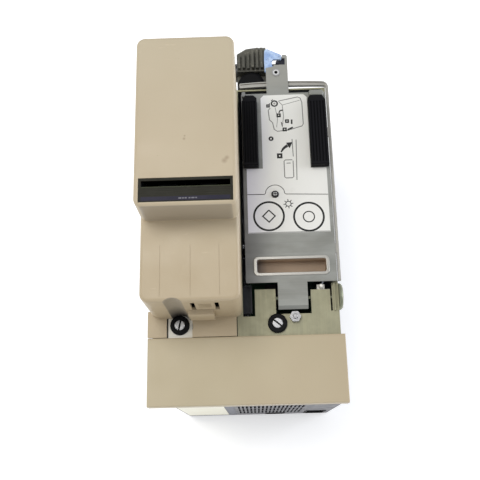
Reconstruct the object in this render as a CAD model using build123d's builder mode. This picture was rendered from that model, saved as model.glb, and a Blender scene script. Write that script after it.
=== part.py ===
from build123d import *
import os
import math

os.makedirs("parts", exist_ok=True)

# ---------------------------------------------------------------- driving dimensions (mm)
# Working coordinates: x 0..168 from left to right over the operator face, y 0..345 from
# the lower end to the head end, z = 0 on the front plate, + towards the operator.
PANEL_W = 168.0                      # width of the front panel
PANEL_H = 57.0                       # height of the front panel
BODY_L = 292.0                       # length of the chassis tub
OVER_L = 345.0                       # overall length, lower end to gearbox end
DEPTH = 165.0                        # chassis depth behind the front plate
SHEET = 1.5                          # chassis sheet
COVER_X0, COVER_X1 = 3.3, 81.3       # head cover, left and right
COVER_Y0, STEP_Y, COVER_Y1 = 73.8, 138.2, 282.0
COVER_Z1, COVER_Z2 = 71.0, 107.0     # lower and upper faces of the head cover
COVER_T = 2.2                        # cover wall
SLOT_X0, SLOT_X1 = 9.0, 76.2         # note slot, 67.2 wide
SLOT_Y0, SLOT_Y1 = 153.5, 158.5      # note slot, 5.0 high
HINGE_Y, HINGE_Z = 90.0, -3.5        # lid hinge axis
PIN_R = 1.5                          # hinge pin
BORE_R = 1.55                        # hinge bores
LID_Z, LID_T = 5.0, 1.2              # underside and thickness of the lid sheet
SHAFT_R, SHAFT_BORE = 3.0, 3.05
PINCH_SHAFT_R, PINCH_BORE = 2.0, 2.05
DRIVE_Y, TYRE_R = 170.0, 13.8
PINCH_Y, PINCH_R = 149.6, 6.1
ST_A, ST_B = 62.0, -110.0            # roller stations along the note path
PULLEY_R = 4.5
LINK_R_BIG, LINK_R_SMALL = 11.6, 7.0
GEAR_M, PINION_T, GEAR_T = 0.8, 12, 30
OUT_Y, OUT_Z = 312.0, -35.0          # gearbox output shaft
CENTRES = GEAR_M * (PINION_T + GEAR_T) / 2
MOT_Y = OUT_Y + 16.0
MOT_Z = OUT_Z + math.sqrt(CENTRES ** 2 - 16.0 ** 2)
STUD_L = (27.5, 67.6)
STUD_R = (111.0, 67.4)
RIVET = (118.5, 305.9)
NUT = (126.3, 72.5)
SHUTTER_Y, SHUTTER_Z = 166.0, 94.0

OX, OY, OZ = PANEL_W / 2, OVER_L / 2, DEPTH


def at_z(z):
    return Plane(origin=(-OX, -OY, OZ + z), x_dir=(1, 0, 0), z_dir=(0, 0, 1))


def at_x(x):
    # local x = +Y, local y = +Z, normal +X
    return Plane(origin=(x - OX, -OY, OZ), x_dir=(0, 1, 0), z_dir=(1, 0, 0))


def at_y(y):
    # local x = +X, local y = +Z, normal -Y
    return Plane(origin=(-OX, y - OY, OZ), x_dir=(1, 0, 0), z_dir=(0, -1, 0))


def rect(x0, y0, x1, y1, mode=Mode.ADD):
    with Locations(((x0 + x1) / 2, (y0 + y1) / 2)):
        Rectangle(abs(x1 - x0), abs(y1 - y0), mode=mode)


def rrect(x0, y0, x1, y1, r, mode=Mode.ADD):
    with Locations(((x0 + x1) / 2, (y0 + y1) / 2)):
        RectangleRounded(abs(x1 - x0), abs(y1 - y0), r, mode=mode)


def save(builder, name):
    builder.part.label = name
    export_step(builder.part, "parts/" + name + ".step")
    print(name, round(builder.part.volume, 1), len(builder.part.solids()))


def gear_points(teeth, module, first_tooth, backlash=0.12, addendum=0.8):
    """Outline of a spur gear; first_tooth is the angle of one tooth's centre in degrees."""
    rp = teeth * module / 2
    rb = rp * math.cos(math.radians(20))
    ra = rp + addendum * module
    rf = rp - 1.2 * module

    def inv(r):
        a = math.acos(min(1.0, rb / r))
        return math.tan(a) - a

    half = math.pi / (2 * teeth) - backlash / (2 * rp)
    lo = max(rb, rf)
    rs = [lo + (ra - lo) * i / 4 for i in range(5)]
    side = [(r, half + inv(rp) - inv(r)) for r in rs]
    if rf < rb:
        side = [(rf, side[0][1])] + side
    pts = []
    for k in range(teeth):
        c = math.radians(first_tooth) + 2 * math.pi * k / teeth
        pts += [(r * math.cos(c - a), r * math.sin(c - a)) for r, a in side]
        pts += [(r * math.cos(c + a), r * math.sin(c + a)) for r, a in reversed(side)]
    return pts


TUB = [(21, 1), (164.5, 1), (164.5, BODY_L), (4, BODY_L), (4, 40), (21, 40)]

# ================================================================= chassis
with BuildPart() as chassis_tub:
    with BuildSketch(at_z(-DEPTH)):
        Polygon(*TUB, align=None)
    extrude(amount=DEPTH - SHEET)
    with BuildSketch(at_z(-DEPTH + SHEET)):
        Polygon((22.5, 2.5), (163, 2.5), (163, BODY_L - 1.5), (5.5, BODY_L - 1.5), (5.5, 41.5), (22.5, 41.5), align=None)
    extrude(amount=DEPTH, mode=Mode.SUBTRACT)
    # note exit slot and fixing holes in the back
    with BuildSketch(at_z(-DEPTH)):
        rrect(7.5, 150.5, 77.5, 161.5, 1.5)
        with Locations((44, 60), (154, 60), (44, 270), (154, 270)):
            Circle(2.2)
    extrude(amount=SHEET, mode=Mode.SUBTRACT)
    # vent slots and connector openings in the lower end wall
    with BuildSketch(at_y(1)):
        with Locations((104, -84)):
            with GridLocations(3.6, 36, 17, 3):
                SlotOverall(30, 1.8, rotation=90)
        rrect(100.0, -154.2, 120.0, -140.0, 0.6)
        rrect(139.0, -154.2, 160.0, -117.8, 0.6)
    extrude(amount=-SHEET, mode=Mode.SUBTRACT)
    # belt slot in the head end wall
    with BuildSketch(at_y(BODY_L)):
        rect(83.6, -62, 92.4, -20)
    extrude(amount=SHEET, mode=Mode.SUBTRACT)
    # shaft holes in the left wall
    with BuildSketch(at_x(4)):
        with Locations((DRIVE_Y, ST_B)):
            Circle(5.0)
        with Locations((PINCH_Y, ST_B)):
            Circle(3.6)
    extrude(amount=SHEET, mode=Mode.SUBTRACT)
    # hinge pin hole and vents in the right wall
    with BuildSketch(at_x(163)):
        with Locations((HINGE_Y, HINGE_Z)):
            Circle(BORE_R)
        with Locations((195, -90)):
            with GridLocations(12, 44, 12, 2):
                SlotOverall(34, 3.0, rotation=90)
    extrude(amount=SHEET, mode=Mode.SUBTRACT)
save(chassis_tub, "chassis_tub")

with BuildPart() as front_plate:
    with BuildSketch(at_z(-SHEET)):
        Polygon(*TUB, align=None)
        rect(7.4, 142.2, 77.2, 273.8, mode=Mode.SUBTRACT)
        # service opening with the gaps beside the two hinge ears
        Polygon((81.8, 74), (92.2, 74), (92.2, 97.5), (110.2, 97.5), (110.2, 75.5), (140.6, 75.5), (140.6, 96.2),
                (157.4, 96.2), (157.4, 77.3), (158.9, 77.3), (158.9, 101.8), (160.6, 101.8), (160.6, 290.5), (81.8, 290.5),
                align=None, mode=Mode.SUBTRACT)
        with Locations(STUD_L, STUD_R):
            Circle(3.4, mode=Mode.SUBTRACT)
        with Locations(NUT):
            Circle(2.2, mode=Mode.SUBTRACT)
    extrude(amount=SHEET)
    # folded stiffener beside the right ear
    with BuildSketch(at_z(0)):
        rect(160.4, 77.3, 161.6, 101.4)
        rect(163.3, 77.3, 164.5, 101.4)
    extrude(amount=1.6)
save(front_plate, "front_plate")

with BuildPart() as front_panel:
    with BuildSketch(at_z(-13)):
        rect(0, 0, PANEL_W, PANEL_H)
    extrude(amount=15)
    fillet(front_panel.faces().sort_by(Axis.Z)[-1].edges(), radius=0.9)
    with BuildSketch(at_z(-13)):
        rect(2, 0.95, PANEL_W - 2, PANEL_H)
    extrude(amount=13, mode=Mode.SUBTRACT)
save(front_panel, "front_panel")

with BuildPart() as mid_plate:
    with BuildSketch(at_x(80.0)):
        rect(4.5, -163.5, 290.5, -1.5)
        with Locations((DRIVE_Y, ST_B)):
            Circle(5.0, mode=Mode.SUBTRACT)
        with Locations((PINCH_Y, ST_B)):
            Circle(3.6, mode=Mode.SUBTRACT)
        with Locations((232, -60), (232, -120)):
            RectangleRounded(50, 34, 4, mode=Mode.SUBTRACT)
    extrude(amount=1.2)
    # flange beside the left hinge ear
    with BuildSketch(at_z(-7.6)):
        rect(81.0, 77.6, 89.8, 101.6)
    extrude(amount=1.2)
    with BuildSketch(at_z(-7.6)):
        rect(88.6, 77.6, 89.8, 101.6)
    extrude(amount=4.6)
save(mid_plate, "mid_plate")

# head frame: a rectangular sheet tube that stands on the front plate inside the cover
with BuildPart() as head_frame:
    with BuildSketch(at_z(0)):
        rrect(6.2, 141.0, 78.4, 275.0, 5.0)
        rrect(7.4, 142.2, 77.2, 273.8, 3.8, mode=Mode.SUBTRACT)
    extrude(amount=102)
    with BuildSketch(at_x(5)):
        with Locations((DRIVE_Y, ST_A)):
            Circle(5.0)
        with Locations((PINCH_Y, ST_A)):
            Circle(3.6)
        with Locations((SHUTTER_Y, SHUTTER_Z)):
            Circle(BORE_R)
        with Locations((228, 50)):
            RectangleRounded(50, 50, 6)
    extrude(amount=75, mode=Mode.SUBTRACT)
save(head_frame, "head_frame")

# ================================================================= note path
with BuildPart() as guide_lower:
    with BuildSketch(at_y(153.3)):
        rect(7.4, -2, 77.2, 100)
        rect(5.5, -162, 80.0, -2)
        with Locations((26, ST_A), (58.6, ST_A), (26, ST_B), (58.6, ST_B)):
            Rectangle(16.5, 15.5, mode=Mode.SUBTRACT)
        rect(12, 23, 73.6, 33, mode=Mode.SUBTRACT)
    extrude(amount=1.3)
save(guide_lower, "guide_lower")

with BuildPart() as guide_upper:
    with BuildSketch(at_y(160.0)):
        rect(7.4, -2, 77.2, 78)
        rect(5.5, -162, 80.0, -2)
        with Locations((26, ST_A), (58.6, ST_A), (26, ST_B), (58.6, ST_B)):
            Rectangle(16.5, 25.5, mode=Mode.SUBTRACT)
        rect(12, 23, 73.6, 33, mode=Mode.SUBTRACT)
        rect(21.5, -1, 34.5, 5, mode=Mode.SUBTRACT)
        rect(50.1, -1, 63.1, 5, mode=Mode.SUBTRACT)
    extrude(amount=1.3)
save(guide_upper, "guide_upper")

with BuildPart() as sensor_windows:
    with BuildSketch(at_y(160.0)):
        rect(12, 23, 73.6, 33)
    extrude(amount=1.1)
    with BuildSketch(at_y(153.1)):
        rect(12, 23, 73.6, 33)
    extrude(amount=1.1)
save(sensor_windows, "sensor_windows")

# image sensor bars above and below the path; the upper one is notched for the belt
with BuildPart() as sensor_bars:
    with BuildSketch(at_x(9)):
        rect(160.0, 18, 174.0, 38)
    extrude(amount=67)
    with BuildSketch(at_x(36.5)):
        rect(163.6, 10, 180, 50)
    extrude(amount=11.0, mode=Mode.SUBTRACT)
    with BuildSketch(at_x(13)):
        rect(160.0, 25, 163.0, 31)
    extrude(amount=59, mode=Mode.SUBTRACT)
    with BuildSketch(at_x(9)):
        rect(143.4, 18, 152.0, 38)
    extrude(amount=67)
    with BuildSketch(at_x(13)):
        rect(149.0, 25, 152.0, 31)
    extrude(amount=59, mode=Mode.SUBTRACT)
save(sensor_bars, "sensor_bars")

with BuildPart() as magnetic_heads:
    for x0 in (22.0, 50.6):
        with BuildSketch(at_x(x0)):
            rect(160.1, -4, 173, 8)
            with Locations((161.9, 2)):
                Circle(2.8)
        extrude(amount=12)
save(magnetic_heads, "magnetic_heads")

# bushes for the two drive shafts and the two pinch shafts
with BuildPart() as shaft_bushes:
    for x0, t, z in ((6.2, 1.2, ST_A), (77.2, 1.2, ST_A), (4.0, 1.5, ST_B), (80.0, 1.2, ST_B)):
        with BuildSketch(at_x(x0)):
            with Locations((DRIVE_Y, z)):
                Circle(5.0)
                Circle(SHAFT_BORE, mode=Mode.SUBTRACT)
            with Locations((PINCH_Y, z)):
                Circle(3.6)
                Circle(PINCH_BORE, mode=Mode.SUBTRACT)
        extrude(amount=t)
save(shaft_bushes, "shaft_bushes")

# ------------------------------------------------ turning pieces of the note path
with BuildPart() as entry_drive_shaft:
    with BuildSketch(at_x(6.3)):
        with Locations((DRIVE_Y, ST_A)):
            Circle(SHAFT_R)
    extrude(amount=72.0)
    chamfer(entry_drive_shaft.edges().filter_by(GeomType.CIRCLE), length=0.4)
    # belt pulley moulded on the shaft
    for x0, t, r in ((38.4, 0.8, 6.2), (39.2, 5.8, PULLEY_R), (45.0, 0.8, 6.2)):
        with BuildSketch(at_x(x0)):
            with Locations((DRIVE_Y, ST_A)):
                Circle(r)
        extrude(amount=t)
save(entry_drive_shaft, "entry_drive_shaft")

with BuildPart() as entry_tyres:
    for x0 in (19.0, 51.6):
        with BuildSketch(at_x(x0)):
            with Locations((DRIVE_Y, ST_A)):
                Circle(TYRE_R)
                Circle(SHAFT_R, mode=Mode.SUBTRACT)
        extrude(amount=14)
save(entry_tyres, "entry_tyres")

with BuildPart() as rear_drive_shaft:
    with BuildSketch(at_x(4.2)):
        with Locations((DRIVE_Y, ST_B)):
            Circle(SHAFT_R)
    extrude(amount=95.3)
    chamfer(rear_drive_shaft.edges().filter_by(GeomType.CIRCLE), length=0.4)
    # belt pulley moulded on the shaft
    for x0, t, r in ((38.4, 0.8, 6.2), (39.2, 5.8, PULLEY_R), (45.0, 0.8, 6.2)):
        with BuildSketch(at_x(x0)):
            with Locations((DRIVE_Y, ST_B)):
                Circle(r)
        extrude(amount=t)
save(rear_drive_shaft, "rear_drive_shaft")

with BuildPart() as rear_tyres:
    for x0 in (19.0, 51.6):
        with BuildSketch(at_x(x0)):
            with Locations((DRIVE_Y, ST_B)):
                Circle(TYRE_R)
                Circle(SHAFT_R, mode=Mode.SUBTRACT)
        extrude(amount=14)
save(rear_tyres, "rear_tyres")

with BuildPart() as link_pulley:
    for x0, t, r in ((84.2, 0.8, 13.2), (85.0, 6.0, LINK_R_BIG), (91.0, 0.8, 13.2)):
        with BuildSketch(at_x(x0)):
            with Locations((DRIVE_Y, ST_B)):
                Circle(r)
                Circle(SHAFT_R, mode=Mode.SUBTRACT)
        extrude(amount=t)
save(link_pulley, "link_pulley")

with BuildPart() as encoder_disc:
    with BuildSketch(at_x(95.0)):
        with Locations((DRIVE_Y, ST_B)):
            Circle(15.0)
            Circle(SHAFT_R, mode=Mode.SUBTRACT)
            with PolarLocations(12.4, 18):
                Rectangle(3.4, 1.6, mode=Mode.SUBTRACT)
    extrude(amount=0.9)
save(encoder_disc, "encoder_disc")

with BuildPart() as pinch_roller_front:
    with BuildSketch(at_x(6.3)):
        with Locations((PINCH_Y, ST_A)):
            Circle(PINCH_SHAFT_R)
    extrude(amount=72.0)
    for x0 in (20.0, 52.6):
        with BuildSketch(at_x(x0)):
            with Locations((PINCH_Y, ST_A)):
                Circle(PINCH_R)
        extrude(amount=12)
save(pinch_roller_front, "pinch_roller_front")

with BuildPart() as pinch_roller_rear:
    with BuildSketch(at_x(4.2)):
        with Locations((PINCH_Y, ST_B)):
            Circle(PINCH_SHAFT_R)
    extrude(amount=76.9)
    for x0 in (20.0, 52.6):
        with BuildSketch(at_x(x0)):
            with Locations((PINCH_Y, ST_B)):
                Circle(PINCH_R)
        extrude(amount=12)
save(pinch_roller_rear, "pinch_roller_rear")

# path belt round the entry and rear pulleys, and the link belt down from the gearbox
with BuildPart() as path_belt:
    with BuildSketch(at_x(39.5)):
        with Locations((DRIVE_Y, (ST_A + ST_B) / 2)):
            SlotCenterToCenter(ST_A - ST_B, 2 * (PULLEY_R + 1.04), rotation=90)
            SlotCenterToCenter(ST_A - ST_B, 2 * (PULLEY_R + 0.04), rotation=90, mode=Mode.SUBTRACT)
    extrude(amount=5.2)
save(path_belt, "path_belt")

with BuildPart() as link_belt:
    with BuildSketch(at_x(85.3)):
        with Locations((DRIVE_Y, ST_B)):
            Circle(LINK_R_BIG + 1.14)
        with Locations((OUT_Y, OUT_Z)):
            Circle(LINK_R_SMALL + 1.14)
        make_hull()
    extrude(amount=5.4)
    with BuildSketch(at_x(85.3)):
        with Locations((DRIVE_Y, ST_B)):
            Circle(LINK_R_BIG + 0.04)
        with Locations((OUT_Y, OUT_Z)):
            Circle(LINK_R_SMALL + 0.04)
        make_hull()
    extrude(amount=5.4, mode=Mode.SUBTRACT)
save(link_belt, "link_belt")

with BuildPart() as encoder_sensor:
    with BuildSketch(at_y(165)):
        Polygon((81.2, -137), (98.6, -137), (98.6, -121.5), (96.9, -121.5), (96.9, -129), (94.1, -129), (94.1, -126.5),
                (92.6, -126.5), (92.6, -132), (81.2, -132), align=None)
    extrude(amount=-10)
save(encoder_sensor, "encoder_sensor")

# ------------------------------------------------ entry shutter and its solenoid
with BuildPart() as entry_shutter:
    with BuildSketch(at_x(8.2)):
        with Locations((SHUTTER_Y, SHUTTER_Z)):
            Circle(2.0)
    extrude(amount=68.2)
    with BuildSketch(at_x(6.3)):
        with Locations((SHUTTER_Y, SHUTTER_Z)):
            Circle(PIN_R)
    extrude(amount=72.0)
    with BuildSketch(at_y(SHUTTER_Y + 0.6)):
        Polygon((9.6, 94), (9.6, 82.6), (10.6, 81.4), (74.6, 81.4), (75.6, 82.6), (75.6, 94), align=None)
    extrude(amount=1.2)
save(entry_shutter, "entry_shutter")

with BuildPart() as shutter_solenoid:
    with BuildSketch(at_y(204)):
        rrect(33, 84, 51, 100, 1.0)
    extrude(amount=18)
    with BuildSketch(at_y(204)):
        with Locations((42, 92)):
            Circle(2.4)
    extrude(amount=18, mode=Mode.SUBTRACT)
    # its bracket across the head frame
    with BuildSketch(at_y(205.2)):
        rect(7.4, 85, 77.2, 99)
    extrude(amount=1.2)
save(shutter_solenoid, "shutter_solenoid")

with BuildPart() as shutter_plunger:
    with BuildSketch(at_y(201)):
        with Locations((42, 92)):
            Circle(2.0)
    extrude(amount=28)
    with BuildSketch(at_y(181)):
        with Locations((42, 92)):
            Circle(3.6)
    extrude(amount=1.2)
save(shutter_plunger, "shutter_plunger")

# ------------------------------------------------ boards
with BuildPart() as head_board:
    with BuildSketch(at_y(263.6)):
        rrect(8.4, 8, 76.2, 96, 1.5)
    extrude(amount=1.6)
save(head_board, "head_board")

with BuildPart() as head_board_parts:
    for x0, z0, x1, z1, h in ((14, 14, 34, 34, 2.0), (40, 16, 52, 30, 1.6), (58, 12, 72, 20, 6.0), (14, 44, 26, 60, 1.8),
                              (32, 44, 46, 56, 1.4), (52, 40, 70, 64, 3.0), (14, 72, 30, 90, 5.0), (38, 74, 70, 82, 8.0)):
        with BuildSketch(at_y(262.0)):
            rect(x0, z0, x1, z1)
        extrude(amount=h)
save(head_board_parts, "head_board_parts")

with BuildPart() as main_board:
    with BuildSketch(at_z(-156.0)):
        rrect(86, 17, 160, 284, 2.0)
        with Locations((90, 22), (156, 22), (90, 279), (156, 279)):
            Circle(1.6, mode=Mode.SUBTRACT)
        with Locations((154, 60), (154, 270)):
            Circle(4.6, mode=Mode.SUBTRACT)
    extrude(amount=1.6)
save(main_board, "main_board")

with BuildPart() as main_board_parts:
    for x0, y0, x1, y1, h in ((104, 110, 132, 138, 2.4), (104, 150, 120, 166, 2.0), (128, 150, 148, 160, 2.0),
                              (104, 180, 116, 210, 9.0), (124, 180, 150, 188, 11.0), (124, 196, 150, 204, 11.0),
                              (104, 222, 140, 230, 9.0), (100, 84, 116, 96, 3.0), (124, 76, 146, 98, 4.0),
                              (104, 240, 124, 258, 3.0)):
        with BuildSketch(at_z(-154.4)):
            rect(x0, y0, x1, y1)
        extrude(amount=h)
    for x0, y0, r, h in ((98, 50, 5, 14), (112, 50, 5, 14), (98, 64, 5, 14), (134, 248, 4, 12), (134, 259, 4, 12)):
        with BuildSketch(at_z(-154.4)):
            with Locations((x0, y0)):
                Circle(r)
        extrude(amount=h)
save(main_board_parts, "main_board_parts")

with BuildPart() as board_standoffs:
    with BuildSketch(at_z(-163.5)):
        with Locations((90, 22), (156, 22), (90, 279), (156, 279)):
            Circle(3.0)
    extrude(amount=7.5)
    with BuildSketch(at_y(273.8)):
        with Locations((14, 10.5), (70.5, 10.5), (14, 93.5), (70.5, 93.5)):
            Circle(2.2)
    extrude(amount=10.2)
save(board_standoffs, "board_standoffs")

with BuildPart() as io_connectors:
    for x0, x1, z1, rows in ((100.4, 119.6, -140.4, 2), (139.4, 159.6, -118.2, 6)):
        with BuildSketch(at_y(0.4)):
            rrect(x0, -154.0, x1, z1, 0.5)
        extrude(amount=-20)
        with BuildSketch(at_y(0.4)):
            rrect(x0 + 1.6, -152.4, x1 - 1.6, z1 - 1.6, 0.4)
        extrude(amount=-9, mode=Mode.SUBTRACT)
        with BuildSketch(at_y(9.4)):
            with Locations(((x0 + x1) / 2, (z1 - 154.0) / 2)):
                with GridLocations(3.2, 4.4, 4, rows):
                    Rectangle(0.9, 0.9)
        extrude(amount=6)
save(io_connectors, "io_connectors")

with BuildPart() as end_label:
    with BuildSketch(at_y(1)):
        rrect(22.2, -150, 62.6, -20, 1.0)
        rect(63.4, -150, 70.8, -20)
    extrude(amount=0.25)
save(end_label, "end_label")

# ------------------------------------------------ fasteners on the front plate
with BuildPart() as fastener_rings:
    for (x, y), z0 in ((STUD_L, 0.0), (STUD_R, 0.0)):
        with BuildSketch(at_z(z0)):
            with Locations((x, y)):
                Circle(8.3)
                Circle(4.75, mode=Mode.SUBTRACT)
        extrude(amount=2.8)
    fillet(fastener_rings.edges().filter_by(GeomType.CIRCLE).filter_by(lambda e: e.radius > 8 and e.center().Z > OZ + 2), radius=1.1)
save(fastener_rings, "fastener_rings")


def stud(x, y, z0, angle):
    with BuildPart() as s:
        with BuildSketch(at_z(z0)):
            with Locations((x, y)):
                Circle(4.4)
        extrude(amount=3.0)
        fillet(s.faces().sort_by(Axis.Z)[-1].edges(), radius=0.6)
        with BuildSketch(at_z(z0 + 1.9)):
            with Locations(Location((x, y, 0), (0, 0, angle))):
                Rectangle(10, 1.5)
        extrude(amount=3.0, mode=Mode.SUBTRACT)
        with BuildSketch(at_z(-14)):
            with Locations((x, y)):
                Circle(2.9)
        extrude(amount=14 + z0)
        with BuildSketch(at_y(y + 1.2)):
            rect(x - 7, -12.4, x + 7, -10.0)
        extrude(amount=2.4)
    return s


stud_left = stud(STUD_L[0], STUD_L[1], 0.4, 78)
save(stud_left, "stud_left")
stud_right = stud(STUD_R[0], STUD_R[1], 0.4, -40)
save(stud_right, "stud_right")

with BuildPart() as hex_nut:
    with BuildSketch(at_z(0)):
        with Locations(NUT):
            RegularPolygon(5.0, 6)
    extrude(amount=4.0)
    with BuildSketch(at_z(-5)):
        with Locations(NUT):
            Circle(2.2)
    extrude(amount=10.6)
    chamfer(hex_nut.faces().sort_by(Axis.Z)[-1].edges(), length=0.5)
save(hex_nut, "hex_nut")

# ================================================================= lid hinge
with BuildPart() as hinge_blocks:
    for x0, x1 in ((93.5, 109.0), (142.0, 156.5)):
        with BuildSketch(at_x(x0)):
            rect(84.8, -8.2, 95.4, -1.5)
            with Locations((HINGE_Y, HINGE_Z)):
                Circle(BORE_R, mode=Mode.SUBTRACT)
        extrude(amount=x1 - x0)
save(hinge_blocks, "hinge_blocks")

with BuildPart() as hinge_pin:
    with BuildSketch(at_x(93.6)):
        with Locations((HINGE_Y, HINGE_Z)):
            Circle(PIN_R)
    extrude(amount=71.4)
    with BuildSketch(at_x(164.7)):
        with Locations((HINGE_Y, HINGE_Z)):
            Circle(11.6)
    extrude(amount=3.3)
    fillet(hinge_pin.faces().sort_by(Axis.X)[-1].edges(), radius=2.7)
save(hinge_pin, "hinge_pin")

with BuildPart() as lid_peg:
    with BuildSketch(at_z(-8.0)):
        rect(146.4, 95.4, 153.0, 101.0)
    extrude(amount=6.0)
    with BuildSketch(at_z(-2.0)):
        with Locations((149.6, 98.6)):
            Circle(1.5)
    extrude(amount=6.6)
    fillet(lid_peg.faces().sort_by(Axis.Z)[-1].edges(), radius=0.7)
save(lid_peg, "lid_peg")

# ================================================================= lid
with BuildPart() as service_lid:
    with BuildSketch(at_z(LID_Z)):
        rrect(85, 102, 163.5, 284, 1.2)
        Polygon((109, 283), (129.6, 283), (129.6, 323.4), (128.2, 324.9), (124.9, 324.9), (124.9, 321.4), (127.3, 321.4),
                (127.3, 314.3), (117.0, 314.3), (115.6, 312.4), (109, 311.3), align=None)
        # finger slot, rivet hole, screw hole and the slots the two grips slide in
        rrect(93.8, 109.3, 156.2, 123.7, 3.0, mode=Mode.SUBTRACT)
        with Locations(RIVET):
            Circle(2.5, mode=Mode.SUBTRACT)
        with Locations((113.1, 182.8)):
            Circle(1.6, mode=Mode.SUBTRACT)
        with Locations((94.4, 224), (94.4, 258), (153.0, 224), (153.0, 258)):
            SlotOverall(9.0, 4.8, mode=Mode.SUBTRACT)
    extrude(amount=LID_T)
    # turned-down edges
    for x0, y0, x1, y1 in ((85, 103, 86.2, 283), (162.3, 103, 163.5, 283), (86.2, 282.8, 108, 284), (130, 282.8, 162.3, 284)):
        with BuildSketch(at_z(0.6)):
            rect(x0, y0, x1, y1)
        extrude(amount=LID_Z - 0.6)
    # tongue at the hinge end, its tip turned down
    with BuildSketch(at_x(112.2)):
        Polygon((103, 5), (103, 6.2), (81.5, 6.2), (78.7, 3.3), (79.6, 2.4), (82.0, 5.0), align=None)
    extrude(amount=25.5)
    # hinge lugs under the tongue
    for x0 in (114.6, 132.4):
        with BuildSketch(at_x(x0)):
            Polygon((85.6, 5), (94.6, 5), (94.0, -4), (91.8, -7), (88.2, -7), (86.0, -4), align=None)
            with Locations((HINGE_Y, HINGE_Z)):
                Circle(BORE_R, mode=Mode.SUBTRACT)
        extrude(amount=3.0)
    # end stops above the two grips
    with BuildSketch(at_z(LID_Z + LID_T)):
        rrect(85.6, 279.4, 88.9, 284.0, 0.8)
    extrude(amount=4.0)
    with BuildSketch(at_z(LID_Z + LID_T)):
        rrect(147.8, 278.0, 161.4, 284.0, 2.2)
    extrude(amount=5.4)
    fillet(service_lid.faces().sort_by(Axis.Z)[-1].edges(), radius=1.4)
save(service_lid, "service_lid")

with BuildPart() as finger_recess:
    with BuildSketch(at_z(-5.4)):
        rrect(94.0, 109.5, 156.0, 123.5, 2.9)
    extrude(amount=11.6)
    with BuildSketch(at_z(6.2)):
        rrect(92.2, 107.9, 157.8, 125.1, 4.2)
    extrude(amount=0.8)
    with BuildSketch(at_z(-4.2)):
        rrect(95.0, 110.5, 155.0, 122.5, 2.0)
    extrude(amount=14, mode=Mode.SUBTRACT)
    fillet(finger_recess.faces().sort_by(Axis.Z)[-1].edges(), radius=0.35)
save(finger_recess, "finger_recess")

with BuildPart() as lid_label:
    with BuildSketch(at_z(LID_Z + LID_T)):
        Polygon((88.2, 146.5), (160.5, 146.5), (160.5, 207.4), (146.2, 207.4), (146.2, 279), (143.2, 282), (106.0, 282),
                (103.0, 279), (103.0, 208.0), (88.2, 208.0), align=None)
        with Locations((113.1, 182.8)):
            Circle(3.5, mode=Mode.SUBTRACT)
    extrude(amount=0.25)
save(lid_label, "lid_label")

with BuildPart() as lid_screw:
    with BuildSketch(at_z(6.2)):
        with Locations((113.1, 182.8)):
            Circle(3.2)
    extrude(amount=1.8)
    fillet(lid_screw.faces().sort_by(Axis.Z)[-1].edges(), radius=0.9)
    with BuildSketch(at_z(2.6)):
        with Locations((113.1, 182.8)):
            Circle(1.6)
    extrude(amount=3.6)
    with BuildSketch(at_z(7.0)):
        with Locations((113.1, 182.8)):
            Rectangle(3.4, 0.8)
            Rectangle(0.8, 3.4)
    extrude(amount=2, mode=Mode.SUBTRACT)
save(lid_screw, "lid_screw")

# frame rail along the right side and across the head end of the lid
with BuildPart() as lid_frame:
    with BuildSketch(at_z(-1.6)):
        with BuildLine():
            Line((165.0, 103.2), (167.4, 103.2))
            Line((167.4, 103.2), (167.4, 291.6))
            ThreePointArc((167.4, 291.6), (161.2 + 6.2 * math.cos(math.radians(45)), 291.6 + 6.2 * math.sin(math.radians(45))),
                          (161.2, 297.8))
            ThreePointArc((161.2, 297.8), (121.0, 299.0), (83.6, 297.6))
            Line((83.6, 297.6), (83.6, 293.0))
            ThreePointArc((83.6, 293.0), (121.0, 294.2), (161.2, 293.6))
            Line((161.2, 293.6), (164.2, 293.2))
            Line((164.2, 293.2), (165.0, 292.2))
            Line((165.0, 292.2), (165.0, 103.2))
        make_face()
    extrude(amount=3.4)
    # lip along the outer edge
    with BuildSketch(at_z(1.7)):
        with BuildLine():
            Line((166.5, 104.0), (166.5, 291.6))
            ThreePointArc((166.5, 291.6), (161.2 + 5.3 * math.cos(math.radians(45)), 291.6 + 5.3 * math.sin(math.radians(45))),
                          (161.2, 296.9))
            ThreePointArc((161.2, 296.9), (121.0, 298.1), (84.4, 296.75))
        trace(line_width=1.0)
    extrude(amount=1.2)
    with BuildSketch(at_z(1.7)):
        rect(112, 295.0, 126, 298.2)
    extrude(amount=3.3)
    for y0 in (128, 240):
        with BuildSketch(at_z(0.8)):
            rect(163.5, y0, 165.6, y0 + 9)
        extrude(amount=1.6)
save(lid_frame, "lid_frame")

def grip(x0, x1, y0, y1, xs, chamfer_left):
    with BuildPart() as g:
        with BuildSketch(at_z(6.9)):
            if chamfer_left:
                Polygon((x0, y0), (x1, y0), (x1, y1 - 3), (x1 - 3, y1), (x0 + 3, y1), (x0, y1 - 6), align=None)
            else:
                Polygon((x0, y0), (x1, y0), (x1, y1 - 5), (x1 - 3, y1), (x0 + 2, y1), (x0, y1 - 3), align=None)
        extrude(amount=7.4)
        chamfer(g.faces().sort_by(Axis.Z)[-1].edges(), length=0.8)
        # finger ribs along the bar
        n = 5
        pitch = (x1 - x0 - 2.0) / n
        for i in range(n):
            cx = x0 + 1.0 + pitch * (i + 0.5)
            with BuildSketch(at_z(13.2)):
                rect(cx - 0.6, y0 + 2.5, cx + 0.6, y1 - 6.5)
            extrude(amount=3, mode=Mode.SUBTRACT)
        with BuildSketch(at_z(4.0)):
            with Locations((xs, 224), (xs, 258)):
                Circle(2.0)
        extrude(amount=2.9)
        with BuildSketch(at_z(2.4)):
            with Locations((xs, 224), (xs, 258)):
                Circle(3.8)
        extrude(amount=2.2)
    return g


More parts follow.
